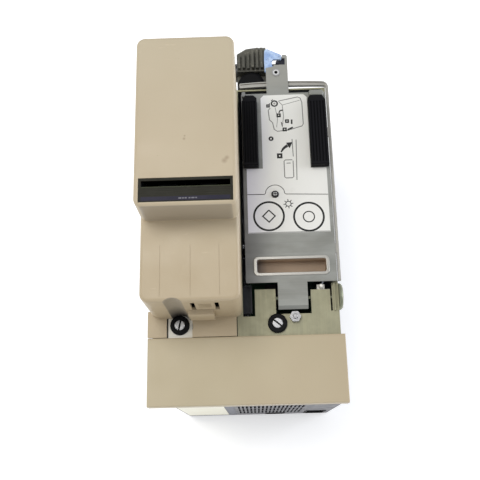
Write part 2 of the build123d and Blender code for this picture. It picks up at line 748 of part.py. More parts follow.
grip_left = grip(85.4, 99.2, 208.6, 278.6, 92.4, True)
save(grip_left, "grip_left")
grip_right = grip(146.6, 162.6, 208.0, 277.2, 155.0, False)
save(grip_right, "grip_right")

# ------------------------------------------------ lid latch
with BuildPart() as hook_rivet:
    for z0, z1, r in ((1.0, 1.9, 4.4), (1.9, 6.2, 2.5), (6.2, 6.9, 3.9)):
        with BuildSketch(at_z(z0)):
            with Locations(RIVET):
                Circle(r)
        extrude(amount=z1 - z0)
    with BuildSketch(at_z(4.4)):
        with Locations(RIVET):
            Circle(1.5)
    extrude(amount=5, mode=Mode.SUBTRACT)
save(hook_rivet, "hook_rivet")

with BuildPart() as latch_hook:
    with BuildSketch(at_z(2.4)):
        with Locations(RIVET):
            Circle(6.4)
        Polygon((108.0, 309), (113, 302.6), (119.5, 311.5), (115.4, 314.0), (114.8, 318.6), (116.2, 321.2), (123.6, 321.2),
                (124.4, 322.0), (124.4, 325.0), (123.6, 326.2), (111.4, 332.6), (109.0, 332.3), (108.2, 330.0), (107.8, 322.5),
                align=None)
        with Locations(RIVET):
            Circle(2.55, mode=Mode.SUBTRACT)
    extrude(amount=2.2)
save(latch_hook, "latch_hook")

with BuildPart() as latch_bracket:
    with BuildSketch(at_z(-14.0)):
        rect(111.0, 292.0, 129.8, 326.4)
    extrude(amount=1.5)
    with BuildSketch(at_z(-40.0)):
        rect(111.0, 292.0, 129.8, 293.5)
    extrude(amount=26.0)
    with BuildSketch(at_z(-12.5)):
        Polygon((121.6, 313.0), (129.0, 313.0), (129.0, 324.6), (128.0, 325.6), (121.6, 325.6), align=None)
    extrude(amount=14.2)
    # post that the hook catches
    with BuildSketch(at_z(-13.0)):
        with Locations((120.6, 318.5)):
            Circle(1.9)
    extrude(amount=17.4)
    fillet(latch_bracket.faces().sort_by(Axis.Z)[-1].edges(), radius=0.8)
save(latch_bracket, "latch_bracket")


# ================================================================= gearbox and motor on the head end
with BuildPart() as gearbox_cavity:
    with BuildSketch(at_x(83.5)):
        Polygon((BODY_L + 2, -60), (OVER_L - 2, -60), (OVER_L - 2, -13), (OVER_L - 4, -11), (319, -11), (319, -20),
                (BODY_L + 2, -20), align=None)
    extrude(amount=27)
    with BuildSketch(at_z(-70)):
        Polygon((83.5, BODY_L), (112, BODY_L), (112, OVER_L), (98.9, OVER_L - 2), (91.0, 339.8), (83.5, 335.0), align=None)
    extrude(amount=70, mode=Mode.INTERSECT)

with BuildPart() as gearbox_housing:
    with BuildSketch(at_x(81.5)):
        Polygon((BODY_L, -62), (OVER_L, -62), (OVER_L, -12), (OVER_L - 3, -9), (317, -9), (317, -18), (BODY_L, -18), align=None)
    extrude(amount=27)
    # the corner next to the head cover slopes
    with BuildSketch(at_z(-70)):
        Polygon((81.5, BODY_L), (108.5, BODY_L), (108.5, OVER_L), (98.5, OVER_L), (90.0, 341.6), (81.5, 336.2), align=None)
    extrude(amount=70, mode=Mode.INTERSECT)
    add(gearbox_cavity.part, mode=Mode.SUBTRACT)
    # belt slot through the foot
    with BuildSketch(at_y(BODY_L + 2)):
        rect(83.6, -60, 92.4, -22)
    extrude(amount=2, mode=Mode.SUBTRACT)
    # bores for the output shaft and the motor boss
    with BuildSketch(at_x(81.5)):
        with Locations((OUT_Y, OUT_Z)):
            Circle(SHAFT_BORE)
        with Locations((MOT_Y, MOT_Z)):
            Circle(4.0)
    extrude(amount=2, mode=Mode.SUBTRACT)
    # cooling ribs on the operator side
    for i, end in enumerate((333.8, 335.2, 337.2, 338.6, 341.0, 340.4)):
        with BuildSketch(at_z(-9)):
            rect(82.6 + 4.4 * i, 319.0, 84.8 + 4.4 * i, end)
        extrude(amount=(3.4, 4.6, 3.0, 5.2, 3.8, 4.6)[i])
save(gearbox_housing, "gearbox_housing")

with BuildPart() as gearbox_cover:
    with BuildSketch(at_x(108.5)):
        Polygon((BODY_L, -62), (OVER_L, -62), (OVER_L, -12), (OVER_L - 3, -9), (317, -9), (317, -18), (BODY_L, -18), align=None)
        with Locations((OUT_Y, OUT_Z)):
            Circle(SHAFT_BORE, mode=Mode.SUBTRACT)
    extrude(amount=1.5)
save(gearbox_cover, "gearbox_cover")

with BuildPart() as gearbox_cap:
    with BuildSketch(at_z(-18)):
        with Locations((95.3, 303.4)):
            Circle(13.0)
    extrude(amount=11.0)
    with BuildSketch(at_z(-18)):
        rect(80, 288, 112, 300.5)
    extrude(amount=12, mode=Mode.SUBTRACT)
    fillet(gearbox_cap.faces().sort_by(Axis.Z)[-1].edges().filter_by(GeomType.CIRCLE), radius=4.0)
save(gearbox_cap, "gearbox_cap")

with BuildPart() as housing_screws:
    for y, z in ((297, -56), (297, -23), (340, -56), (340, -17)):
        with BuildSketch(at_x(110.0)):
            with Locations((y, z)):
                Circle(2.4)
                RegularPolygon(1.3, 6, mode=Mode.SUBTRACT)
        extrude(amount=1.2)
save(housing_screws, "housing_screws")

with BuildPart() as drive_motor:
    with BuildSketch(at_x(28)):
        with Locations((MOT_Y, MOT_Z)):
            Circle(14.0)
    extrude(amount=51.0)
    fillet(drive_motor.edges().filter_by(GeomType.CIRCLE), radius=1.5)
    with BuildSketch(at_x(79.0)):
        with Locations((MOT_Y, MOT_Z)):
            Circle(9.0)
    extrude(amount=2.5)
    with BuildSketch(at_x(24.0)):
        with Locations((MOT_Y, MOT_Z)):
            Circle(5.0)
    extrude(amount=4.0)
    with BuildSketch(at_x(70.0)):
        with Locations((MOT_Y, MOT_Z)):
            Circle(2.05)
    extrude(amount=12, mode=Mode.SUBTRACT)
save(drive_motor, "drive_motor")

PHI = math.degrees(math.atan2(MOT_Z - OUT_Z, MOT_Y - OUT_Y))
with BuildPart() as output_gear:
    with BuildSketch(Plane(at_x(95.0).location * Location((OUT_Y, OUT_Z, 0)))):
        Polygon(*gear_points(GEAR_T, GEAR_M, PHI), align=None)
    extrude(amount=6)
    with BuildSketch(at_x(81.6)):
        with Locations((OUT_Y, OUT_Z)):
            Circle(SHAFT_R)
    extrude(amount=28.3)
    # link belt pulley in one piece with it
    for x0, t, r in ((84.2, 0.8, 8.4), (85.0, 6.0, LINK_R_SMALL), (91.0, 0.8, 8.4)):
        with BuildSketch(at_x(x0)):
            with Locations((OUT_Y, OUT_Z)):
                Circle(r)
        extrude(amount=t)
save(output_gear, "output_gear")

with BuildPart() as motor_pinion:
    with BuildSketch(Plane(at_x(94.6).location * Location((MOT_Y, MOT_Z, 0)))):
        Polygon(*gear_points(PINION_T, GEAR_M, PHI + 180.0 + 180.0 / PINION_T), align=None)
    extrude(amount=6.8)
    with BuildSketch(at_x(70.5)):
        with Locations((MOT_Y, MOT_Z)):
            Circle(2.0)
    extrude(amount=32.5)
save(motor_pinion, "motor_pinion")

# ================================================================= head cover (lifts off towards the operator)
with BuildPart() as cover_cavity:
    with BuildSketch(at_z(-1)):
        rrect(COVER_X0 + COVER_T, COVER_Y0 + COVER_T, COVER_X1 - COVER_T, 200, 4.6)
    extrude(amount=COVER_Z1 - COVER_T + 1)
    with BuildSketch(at_z(-1)):
        rrect(COVER_X0 + COVER_T, STEP_Y + 2.0, COVER_X1 - COVER_T, COVER_Y1 - COVER_T, 4.6)
    extrude(amount=COVER_Z2 - COVER_T + 1)
    with BuildSketch(at_z(-1)):
        with Locations((28.4, 66.4)):
            Circle(12.2)
    extrude(amount=COVER_Z1 + 1, mode=Mode.SUBTRACT)

with BuildPart() as head_cover:
    with BuildSketch(at_z(0)):
        rrect(COVER_X0, COVER_Y0, COVER_X1, 170, 6.8)
    extrude(amount=COVER_Z1)
    # soften the outer edges of the lower face, then add the upper block and soften its face
    fillet(head_cover.faces().sort_by(Axis.Z)[-1].edges(), radius=3.0)
    with BuildSketch(at_z(0)):
        rrect(COVER_X0, STEP_Y, COVER_X1, COVER_Y1, 6.8)
    extrude(amount=COVER_Z2)
    fillet(head_cover.faces().sort_by(Axis.Z)[-1].edges(), radius=3.0)
    # base flange with the notch round the left fastener
    with BuildSketch(at_z(0)):
        rrect(0, 57.4, 76.1, 80, 0.8)
        rrect(16.3, 50, 38.3, 77.6, 1.0, mode=Mode.SUBTRACT)
    extrude(amount=2.0)
    add(cover_cavity.part, mode=Mode.SUBTRACT)
    # half-round groove over the fastener
    with BuildSketch(at_z(-1)):
        with Locations((28.4, 66.4)):
            Circle(10.0)
    extrude(amount=COVER_Z1 + 4, mode=Mode.SUBTRACT)
    # seat for the entry strip, then the note slot through the wall behind it
    with BuildSketch(at_z(105.4)):
        rect(7.0, 141.3, 78.2, 160.6)
    extrude(amount=3, mode=Mode.SUBTRACT)
    with BuildSketch(at_z(100)):
        rect(8.6, 153.1, 76.6, 158.9)
    extrude(amount=8, mode=Mode.SUBTRACT)
    # opening for the release tab
    with BuildSketch(at_y(COVER_Y0 - 1)):
        rect(41.4, 35.8, 63.8, 62.2)
    extrude(amount=-4, mode=Mode.SUBTRACT)
    # fine lines on the lower face
    for x in (19.2, 42.8, 65.3):
        with BuildSketch(at_z(COVER_Z1 - 0.25)):
            rect(x - 0.25, 77.5, x + 0.25, 118.5)
        extrude(amount=1, mode=Mode.SUBTRACT)
    # finger ledge below the tab
    with BuildSketch(at_x(37.4)):
        Polygon((COVER_Y0 + 0.5, 10), (COVER_Y0 - 3.6, 12.0), (COVER_Y0 - 4.6, 14.5), (COVER_Y0 - 4.6, 32), (COVER_Y0 - 3.6, 34.5),
                (COVER_Y0 + 0.5, 35.0), align=None)
    extrude(amount=21.2)
save(head_cover, "head_cover")

with BuildPart() as entry_window:
    with BuildSketch(at_z(105.4)):
        rect(7.1, 141.4, 78.1, 160.5)
        rect(SLOT_X0, SLOT_Y0, SLOT_X1, SLOT_Y1, mode=Mode.SUBTRACT)
        rect(9.2, 142.4, 76.0, 145.6, mode=Mode.SUBTRACT)
    extrude(amount=1.1)
save(entry_window, "entry_window")

with BuildPart() as light_bar:
    with BuildSketch(at_z(105.4)):
        rect(9.2, 142.4, 76.0, 145.6)
    extrude(amount=1.3)
save(light_bar, "light_bar")

with BuildPart() as release_tab:
    with BuildSketch(at_y(COVER_Y0 + 0.1)):
        rrect(44.8, 36.4, 60.4, 61.6, 1.2)
    extrude(amount=-2.1)
    with BuildSketch(at_y(COVER_Y0 + 2.2)):
        rect(47.0, 38.5, 58.2, 41.0)
    extrude(amount=-7)
    # two finger ridges
    for z in (46.0, 51.0, 56.0):
        with BuildSketch(at_y(COVER_Y0 + 0.1)):
            rect(47.5, z, 57.7, z + 1.2)
        extrude(amount=0.5)
save(release_tab, "release_tab")
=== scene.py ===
import bpy
import bmesh
import math
from mathutils import Matrix, Vector


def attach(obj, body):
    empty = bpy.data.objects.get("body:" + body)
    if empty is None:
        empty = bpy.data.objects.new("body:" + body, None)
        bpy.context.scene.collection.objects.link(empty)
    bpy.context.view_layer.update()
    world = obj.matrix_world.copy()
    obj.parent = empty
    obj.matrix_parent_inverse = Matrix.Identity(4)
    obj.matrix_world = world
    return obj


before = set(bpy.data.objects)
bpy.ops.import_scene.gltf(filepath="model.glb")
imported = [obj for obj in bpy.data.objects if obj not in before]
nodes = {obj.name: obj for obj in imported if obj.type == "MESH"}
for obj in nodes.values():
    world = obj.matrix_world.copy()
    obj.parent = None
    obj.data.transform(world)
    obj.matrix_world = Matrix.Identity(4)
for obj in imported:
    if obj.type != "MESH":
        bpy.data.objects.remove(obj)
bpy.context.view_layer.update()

# working coordinates of the design (mm): x 0..168, y 0..345, z = 0 on the front plate
OX, OY, OZ = 84.0, 172.5, 165.0


def W(x, y, z):
    return Vector(((x - OX) / 1000, (y - OY) / 1000, (z + OZ) / 1000))


# ------------------------------------------------------------------ camera
R = ((0.9994556804882989, -0.02291886739068842, -0.0237290593408071),
     (0.028892099881163272, 0.9552936257295022, 0.2942436663804996),
     (0.015924487562505453, -0.294769086164255, 0.9554358149754286))
cam_data = bpy.data.cameras.new("photo_camera")
cam_data.sensor_width = 36.0
cam_data.lens = 693.5913355382488 / 480.0 * 36.0
cam_data.clip_end = 20.0
cam = bpy.data.objects.new("photo_camera", cam_data)
bpy.context.scene.collection.objects.link(cam)
rot = Matrix((R[0], R[1], R[2])).transposed().to_4x4()
cam.matrix_world = Matrix.Translation(W(90.39985554741216, -38.504567604911955, 588.1605776478547)) @ rot
bpy.context.scene.camera = cam


# ------------------------------------------------------------------ materials
class Mat:
    """A Principled material with object-space helpers."""

    def __init__(self, name, rough=0.5, metallic=0.0, ior=None, coat=None, coat_rough=0.1, transmission=None, sheen=None):
        self.m = bpy.data.materials.new(name)
        self.m.use_nodes = True
        self.nt = self.m.node_tree
        self.nt.nodes.clear()
        self.out = self.nt.nodes.new("ShaderNodeOutputMaterial")
        self.b = self.nt.nodes.new("ShaderNodeBsdfPrincipled")
        self.nt.links.new(self.b.outputs[0], self.out.inputs[0])
        self.b.inputs["Roughness"].default_value = rough
        self.b.inputs["Metallic"].default_value = metallic
        if ior:
            self.b.inputs["IOR"].default_value = ior
        if coat is not None:
            self.b.inputs["Coat Weight"].default_value = coat
            self.b.inputs["Coat Roughness"].default_value = coat_rough
        if transmission is not None:
            self.b.inputs["Transmission Weight"].default_value = transmission
        self.co = self.nt.nodes.new("ShaderNodeTexCoord").outputs["Object"]

    def node(self, kind, **props):
        n = self.nt.nodes.new(kind)
        for k, v in props.items():
            setattr(n, k, v)
        return n

    def link(self, a, b):
        self.nt.links.new(a, b)

    def scaled(self, s):
        n = self.node("ShaderNodeMapping")
        self.link(self.co, n.inputs["Vector"])
        n.inputs["Scale"].default_value = s
        return n.outputs[0]

    def noise(self, scale, detail=3.0, rough=0.55, vec=None, distortion=0.0):
        n = self.node("ShaderNodeTexNoise")
        self.link(vec or self.co, n.inputs["Vector"])
        n.inputs["Scale"].default_value = scale
        n.inputs["Detail"].default_value = detail
        n.inputs["Roughness"].default_value = rough
        n.inputs["Distortion"].default_value = distortion
        return n.outputs["Fac"]

    def ramp(self, fac, stops):
        n = self.node("ShaderNodeValToRGB")
        self.link(fac, n.inputs[0])
        el = n.color_ramp.elements
        while len(el) < len(stops):
            el.new(0.5)
        for e, (p, c) in zip(el, stops):
            e.position = p
            e.color = (c[0], c[1], c[2], 1.0) if len(c) == 3 else c
        return n.outputs[0]

    def fac(self, f, lo, hi, a=0.0, b=1.0):
        n = self.node("ShaderNodeMapRange")
        self.link(f, n.inputs["Value"])
        n.inputs["From Min"].default_value = lo
        n.inputs["From Max"].default_value = hi
        n.inputs["To Min"].default_value = a
        n.inputs["To Max"].default_value = b
        return n.outputs[0]

    def mix(self, fac, a, b, blend="MIX"):
        n = self.node("ShaderNodeMix", data_type="RGBA", blend_type=blend)
        if isinstance(fac, (int, float)):
            n.inputs[0].default_value = fac
        else:
            self.link(fac, n.inputs[0])
        for sock, v in ((n.inputs[6], a), (n.inputs[7], b)):
            if isinstance(v, tuple):
                sock.default_value = (v[0], v[1], v[2], 1.0)
            else:
                self.link(v, sock)
        return n.outputs[2]

    def math(self, op, a, b=None, clamp=False):
        n = self.node("ShaderNodeMath", operation=op, use_clamp=clamp)
        for i, v in enumerate((a, b)):
            if v is None:
                continue
            if isinstance(v, (int, float)):
                n.inputs[i].default_value = v
            else:
                self.link(v, n.inputs[i])
        return n.outputs[0]

    def axis(self, i):
        n = self.node("ShaderNodeSeparateXYZ")
        self.link(self.co, n.inputs[0])
        return n.outputs[i]

    def spot(self, x, y, z, r0, r1):
        """1 inside r0 mm of a point, 0 outside r1 mm."""
        n = self.node("ShaderNodeVectorMath", operation="DISTANCE")
        self.link(self.co, n.inputs[0])
        n.inputs[1].default_value = W(x, y, z)
        return self.fac(n.outputs["Value"], r0 / 1000, r1 / 1000, 1.0, 0.0)

    def color(self, c):
        if isinstance(c, tuple):
            self.b.inputs["Base Color"].default_value = (c[0], c[1], c[2], 1.0)
        else:
            self.link(c, self.b.inputs["Base Color"])
        return self

    def roughness(self, f, lo, hi):
        self.link(self.fac(f, 0.25, 0.75, lo, hi), self.b.inputs["Roughness"])
        return self

    def bump(self, height, strength, dist_mm):
        n = self.node("ShaderNodeBump")
        n.inputs["Strength"].default_value = strength
        n.inputs["Distance"].default_value = dist_mm / 1000
        self.link(height, n.inputs["Height"])
        prev = self.b.inputs["Normal"].links
        if prev:
            self.link(prev[0].from_socket, n.inputs["Normal"])
        self.link(n.outputs[0], self.b.inputs["Normal"])
        return self


def srgb(r, g, b):
    def f(c):
        c /= 255
        return c / 12.92 if c <= 0.04045 else ((c + 0.055) / 1.055) ** 2.4
    return (f(r), f(g), f(b))


def plastic(name, rgb, rough=0.5, vary=0.06, grain=0.25, tint=None, spec=0.5):
    m = Mat(name, rough=rough)
    m.b.inputs["Specular IOR Level"].default_value = spec
    lo = tuple(max(0.0, c * (1 - vary)) for c in rgb)
    hi = tuple(min(1.0, c * (1 + vary)) for c in rgb)
    col = m.ramp(m.noise(14, 4), [(0.32, lo), (0.68, hi)])
    if tint:
        col = m.mix(m.fac(m.noise(5, 2), 0.45, 0.75, 0.0, 0.5), col, tint)
    m.color(col)
    m.roughness(m.noise(60, 3), rough - 0.07, rough + 0.09)
    m.bump(m.noise(1500, 2, 0.5), grain, 0.05)
    return m


def steel(name, rgb, rough=0.35, along="y", streak=0.12, vary=0.08, metallic=1.0, grain=0.2):
    m = Mat(name, rough=rough, metallic=metallic)
    stretch = {"x": (6, 900, 900), "y": (900, 6, 900), "z": (900, 900, 6)}[along]
    lines = m.noise(1.0, 4, 0.6, vec=m.scaled(stretch))
    cloud = m.noise(18, 3)
    lo = tuple(c * (1 - vary) for c in rgb)
    hi = tuple(min(1.0, c * (1 + vary)) for c in rgb)
    base = m.ramp(cloud, [(0.3, lo), (0.7, hi)])
    m.color(m.mix(m.fac(lines, 0.35, 0.65, 0.0, streak * 2), base, tuple(c * 0.72 for c in rgb)))
    m.roughness(lines, rough - 0.06, rough + 0.10)
    m.bump(lines, grain, 0.02)
    return m


def zinc(name, rgb, rough=0.42):
    m = Mat(name, rough=rough, metallic=0.75)
    v = m.node("ShaderNodeTexVoronoi")
    m.link(m.co, v.inputs["Vector"])
    v.inputs["Scale"].default_value = 420
    spangle = m.node("ShaderNodeSeparateColor")
    m.link(v.outputs["Color"], spangle.inputs[0])
    lo = tuple(c * 0.965 for c in rgb)
    hi = tuple(min(1, c * 1.035) for c in rgb)
    base = m.ramp(spangle.outputs[0], [(0.0, lo), (1.0, hi)])
    base = m.mix(m.fac(m.noise(22, 4), 0.4, 0.8, 0.0, 0.40), base, tuple(c * 0.84 for c in rgb))
    m.color(base)
    m.roughness(m.noise(120, 3), rough - 0.08, rough + 0.12)
    m.bump(m.noise(500, 3), 0.12, 0.03)
    return m, base


M = {}

# beige cover: warm, slightly uneven, a few handling marks on the face; painted light and shade: lighter towards the
# head end, darker lower block, painted shade on the step face and in the fastener groove
m = Mat("beige_cover", rough=0.46)
base = m.ramp(m.noise(9, 3), [(0.3, srgb(184, 171, 145)), (0.7, srgb(194, 182, 156))])
base = m.mix(m.fac(m.noise(3.5, 2), 0.40, 0.70, 0.0, 0.7), base, srgb(184, 164, 138))
# painted light: lighter towards the head end; painted shade: darker on the lower block
base = m.mix(m.fac(m.axis(1), (190.0 - OY) / 1000, (345.0 - OY) / 1000, 0.0, 0.75), base, srgb(190, 183, 160))
base = m.mix(m.fac(m.axis(1), (100.0 - OY) / 1000, (142.0 - OY) / 1000, 0.9, 0.2), base, srgb(178, 161, 132))
speck = m.fac(m.noise(420, 2, 0.7), 0.70, 0.78, 0.0, 0.28)
base = m.mix(speck, base, srgb(150, 132, 108))
scuff_vec = m.scaled((55, 420, 300))
scuff = m.math("MULTIPLY", m.fac(m.noise(1.0, 5, 0.65, vec=scuff_vec), 0.63, 0.74, 0.0, 0.35), m.fac(m.noise(8, 2), 0.48, 0.62))
base = m.mix(scuff, base, srgb(222, 208, 180))
# painted shade on the step face below the upper block
step_face_shade = m.math("MULTIPLY", m.fac(m.axis(1), (138.5 - OY) / 1000, (138.9 - OY) / 1000, 1.0, 0.0), m.fac(m.axis(2), (72.5 + OZ) / 1000, (74.0 + OZ) / 1000))
base = m.mix(m.math("MULTIPLY", step_face_shade, 0.45), base, srgb(124, 118, 112))
# painted shade in the U-groove above the left fastener, near black towards its base
near = m.node("ShaderNodeVectorMath", operation="MULTIPLY")
m.link(m.co, near.inputs[0])
near.inputs[1].default_value = (1.0, 1.0, 0.0)
dist = m.node("ShaderNodeVectorMath", operation="DISTANCE")
m.link(near.outputs[0], dist.inputs[0])
dist.inputs[1].default_value = ((28.4 - OX) / 1000, (66.4 - OY) / 1000, 0.0)
groove_shade = m.fac(dist.outputs["Value"], 10.2 / 1000, 10.6 / 1000, 1.0, 0.0)
base = m.mix(m.math("MULTIPLY", groove_shade, 0.55), base, srgb(120, 117, 110))
groove_floor_shade = m.math("MULTIPLY", groove_shade, m.fac(m.axis(2), (6.0 + OZ) / 1000, (40.0 + OZ) / 1000, 0.9, 0.0))
base = m.mix(groove_floor_shade, base, srgb(30, 28, 28))
for (px, py, pz, r) in ((41.6, 192.0, 107.0, 1.0), (42.0, 194.4, 107.0, 0.7), (72.0, 173.0, 107.0, 1.9), (74.0, 175.4, 107.0, 1.5)):
    base = m.mix(m.math("MULTIPLY", m.spot(px, py, pz, r * 0.3, r * 1.5), 0.45), base, srgb(124, 100, 74))
m.color(base)
m.roughness(m.noise(45, 4), 0.38, 0.56)
m.bump(m.noise(1300, 2, 0.5), 0.22, 0.06)
m.bump(m.noise(16, 2), 0.05, 0.6)
M["beige_cover"] = m

m = Mat("beige_panel", rough=0.48)
base = m.ramp(m.noise(7, 3), [(0.3, srgb(178, 165, 136)), (0.7, srgb(187, 174, 146))])
base = m.mix(m.fac(m.noise(4.5, 2, vec=m.scaled((1.6, 0.8, 1))), 0.42, 0.66, 0.0, 0.8), base, srgb(176, 156, 130))
base = m.mix(m.fac(m.noise(420, 2, 0.7), 0.70, 0.78, 0.0, 0.25), base, srgb(150, 132, 108))
edge = m.fac(m.axis(1), (57.0 - OY - 3) / 1000, (57.0 - OY) / 1000, 0.0, 0.35)
base = m.mix(edge, base, srgb(168, 150, 122))
m.color(base)
m.roughness(m.noise(45, 4), 0.40, 0.58)
m.bump(m.noise(1300, 2, 0.5), 0.22, 0.06)
M["beige_panel"] = m

# zinc front plate, brighter on the seat of the left fastener
m, base = zinc("zinc_plate", srgb(156, 153, 127), 0.48)
seat = m.math("MULTIPLY", m.fac(m.axis(0), (38.8 - OX) / 1000, (39.4 - OX) / 1000, 1.0, 0.0),
              m.fac(m.axis(1), (78.0 - OY) / 1000, (80.0 - OY) / 1000, 1.0, 0.0))
# painted shadow: a black line along the left wall of the seat notch
notch_wall_shadow = m.math("MULTIPLY", m.fac(m.axis(0), (16.2 - OX) / 1000, (16.4 - OX) / 1000), m.fac(m.axis(0), (17.3 - OX) / 1000, (17.7 - OX) / 1000, 1.0, 0.0))
gap = m.math("MULTIPLY", m.fac(m.axis(0), (76.0 - OX) / 1000, (76.1 - OX) / 1000), m.fac(m.axis(0), (76.6 - OX) / 1000, (77.0 - OX) / 1000, 1.0, 0.0))
gap = m.math("MULTIPLY", gap, m.fac(m.axis(1), (75.0 - OY) / 1000, (76.0 - OY) / 1000, 1.0, 0.0))
brush = m.noise(1.0, 4, 0.6, vec=m.scaled((420, 14, 14)))
base = m.mix(m.fac(brush, 0.38, 0.66, 0.0, 0.30), base, srgb(120, 121, 104))
base = m.mix(m.fac(m.noise(26, 3), 0.50, 0.72, 0.0, 0.35), base, srgb(172, 168, 140))
base = m.mix(seat, base, srgb(236, 232, 220))
base = m.mix(m.math("MULTIPLY", notch_wall_shadow, seat), base, (0.01, 0.01, 0.01))
m.color(m.mix(gap, base, (0.02, 0.02, 0.018)))
m.link(m.fac(seat, 0.0, 1.0, 0.45, 0.0), m.b.inputs["Metallic"])
M["zinc_plate"] = m
M["zinc"] = zinc("zinc_parts", srgb(134, 137, 118), 0.40)[0]
m, base = zinc("latch_zinc", srgb(134, 137, 124), 0.40)
# painted shade: the back of the latch bracket, near black
bracket_shade = m.math("MULTIPLY", m.fac(m.axis(1), (313.5 - OY) / 1000, (314.0 - OY) / 1000), m.fac(m.axis(2), (-13.0 + OZ) / 1000, (-12.6 + OZ) / 1000))
m.color(m.mix(bracket_shade, base, (0.012, 0.014, 0.026)))
m.link(m.fac(bracket_shade, 0.0, 1.0, 0.75, 0.1), m.b.inputs["Metallic"])
M["latch"] = m
m, base = zinc("zinc_tub", srgb(140, 144, 150), 0.40)
# painted shade darkening the tub's end wall
end_wall_shade = m.fac(m.axis(1), (3.0 - OY) / 1000, (6.0 - OY) / 1000, 1.0, 0.0)
m.color(m.mix(end_wall_shade, base, srgb(74, 74, 80)))
M["tub"] = m
# painted shade: a darker copy of the zinc for the mid plate inside the opening
M["zinc_painted_shade"] = zinc("zinc_painted_shade", srgb(60, 61, 66), 0.5)[0]
# slotted heads, with painted shade making the slot floor near black
m = steel("stud_steel", (0.50, 0.50, 0.51), 0.33, "x", 0.14, metallic=0.85)
prev = m.b.inputs["Base Color"].links[0].from_socket
m.color(m.mix(m.fac(m.axis(2), (2.45 + OZ) / 1000, (2.8 + OZ) / 1000, 1.0, 0.0), prev, (0.012, 0.012, 0.012)))
M["stud"] = m
m = steel("rivet_steel", (0.72, 0.72, 0.72), 0.34, "x", 0.08, metallic=0.5)
prev = m.b.inputs["Base Color"].links[0].from_socket
flat = m.node("ShaderNodeVectorMath", operation="MULTIPLY")
m.link(m.co, flat.inputs[0])
flat.inputs[1].default_value = (1.0, 1.0, 0.0)
dist = m.node("ShaderNodeVectorMath", operation="DISTANCE")
m.link(flat.outputs[0], dist.inputs[0])
dist.inputs[1].default_value = ((118.5 - OX) / 1000, (305.9 - OY) / 1000, 0.0)
# painted shade: black at the centre and darker beyond 2.6 mm
base = m.mix(m.fac(dist.outputs["Value"], 1.4 / 1000, 1.8 / 1000, 1.0, 0.0), prev, (0.01, 0.01, 0.012))
m.color(m.mix(m.math("MULTIPLY", m.fac(dist.outputs["Value"], 2.6 / 1000, 2.9 / 1000), 0.55), base, (0.10, 0.10, 0.10)))
M["rivet"] = m
m = steel("screw_steel", (0.5, 0.5, 0.5), 0.30, "x", 0.10, metallic=0.7)
prev = m.b.inputs["Base Color"].links[0].from_socket
flat = m.node("ShaderNodeVectorMath", operation="MULTIPLY")
m.link(m.co, flat.inputs[0])
flat.inputs[1].default_value = (1.0, 1.0, 0.0)
dist = m.node("ShaderNodeVectorMath", operation="DISTANCE")
m.link(flat.outputs[0], dist.inputs[0])
dist.inputs[1].default_value = ((113.1 - OX) / 1000, (182.8 - OY) / 1000, 0.0)
# painted shade: black outside 2 mm of the centre and below z 7.1
base = m.mix(m.fac(dist.outputs["Value"], 1.5 / 1000, 2.0 / 1000), prev, (0.015, 0.015, 0.015))
m.color(m.mix(m.fac(m.axis(2), (7.1 + OZ) / 1000, (7.5 + OZ) / 1000, 1.0, 0.0), base, (0.01, 0.01, 0.01)))
M["screw"] = m

# lid: satin sheet, with painted shadow turning it lilac-grey towards the left edge
m = steel("lid_sheet", srgb(134, 135, 130), 0.48, "x", 0.10, metallic=0.40)
prev = m.b.inputs["Base Color"].links[0].from_socket
prev = m.mix(m.fac(m.noise(1.0, 3, 0.5, vec=m.scaled((22, 60, 40))), 0.42, 0.62, 0.0, 0.55), prev, srgb(158, 160, 156))
# painted shadow from the cover on the lid's left part
prev = m.mix(m.fac(m.axis(0), (90.0 - OX) / 1000, (112.0 - OX) / 1000, 0.45, 0.0), prev, srgb(92, 92, 100))
m.color(m.mix(m.fac(m.axis(1), (284.0 - OY) / 1000, (296.0 - OY) / 1000, 0.0, 1.0), prev, srgb(152, 152, 146)))
M["lid"] = m
M["rail"] = steel("lid_rail", srgb(176, 174, 168), 0.36, "x", 0.06, metallic=0.7)
M["shaft"] = steel("ground_steel", srgb(205, 205, 208), 0.22, "x", 0.08)
M["bright"] = steel("bright_steel", (0.42, 0.42, 0.43), 0.30, "x", 0.10, metallic=0.9)
M["black"] = plastic("black_plastic", (0.0035, 0.0035, 0.004), 0.50, 0.2, 0.18, spec=0.12)
m = Mat("ribbed_grip", rough=0.55)
m.b.inputs["Specular IOR Level"].default_value = 0.06
crest = m.fac(m.axis(2), (13.9 + OZ) / 1000, (14.2 + OZ) / 1000)
base = m.ramp(m.noise(60, 3), [(0.3, (0.0035, 0.0035, 0.0045)), (0.7, (0.006, 0.006, 0.0075))])
m.color(m.mix(crest, base, (0.009, 0.009, 0.011)))
m.bump(m.noise(1500, 2, 0.5), 0.18, 0.05)
M["grip"] = m
M["rubber"] = plastic("black_rubber", (0.014, 0.014, 0.015), 0.62, 0.25, 0.4)
M["tyre"] = plastic("tyre_rubber", (0.05, 0.05, 0.055), 0.70, 0.2, 0.4)
M["guide"] = plastic("guide_plastic", (0.022, 0.022, 0.024), 0.34, 0.15, 0.1)
M["nylon"] = plastic("white_nylon", srgb(232, 229, 220), 0.45, 0.04, 0.15)
M["acetal"] = plastic("cream_acetal", srgb(214, 207, 190), 0.38, 0.04, 0.12)
m = Mat("pale_blue_plastic", rough=0.36)
base = m.ramp(m.noise(130, 3), [(0.35, srgb(146, 174, 220)), (0.65, srgb(190, 212, 242))])
m.color(m.mix(m.fac(m.noise(420, 2), 0.55, 0.7, 0.0, 0.4), base, srgb(84, 104, 150)))
m.bump(m.noise(600, 2), 0.12, 0.04)
M["blue"] = m
m = Mat("brown_liner", rough=0.5)
base = m.ramp(m.noise(30, 4), [(0.3, srgb(154, 133, 112)), (0.7, srgb(170, 148, 125))])
